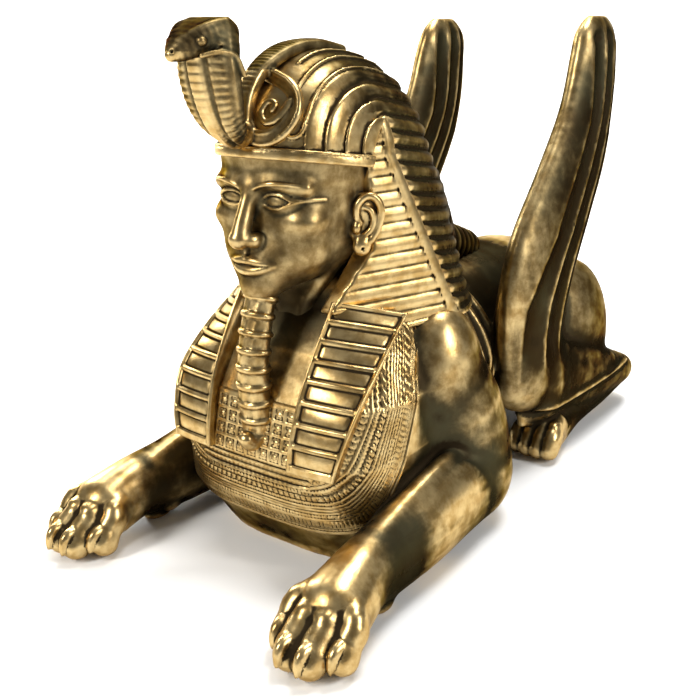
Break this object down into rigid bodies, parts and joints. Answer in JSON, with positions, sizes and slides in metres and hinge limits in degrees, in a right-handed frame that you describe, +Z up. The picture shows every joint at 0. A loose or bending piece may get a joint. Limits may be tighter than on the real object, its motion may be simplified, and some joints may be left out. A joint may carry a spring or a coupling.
{
  "type": "sphinx statue",
  "caption": "Reclining sphinx with royal headdress, rearing cobra, false beard and upswept wings, cast in one piece to carry a table top on its cobra and wing tips.",
  "frame": {"origin": "middle of the footprint on the floor, under the middle of the whole statue", "axes": "+Z up, -Y the way the sphinx faces, +X to its left"},
  "size_m": [0.3696, 0.7662, 0.48],
  "materials": {
    "bronze": "polished antique bronze with a dark olive patina"
  },
  "bodies": {
    "root": {"sphinx": "bronze"}
  },
  "joints": []
}
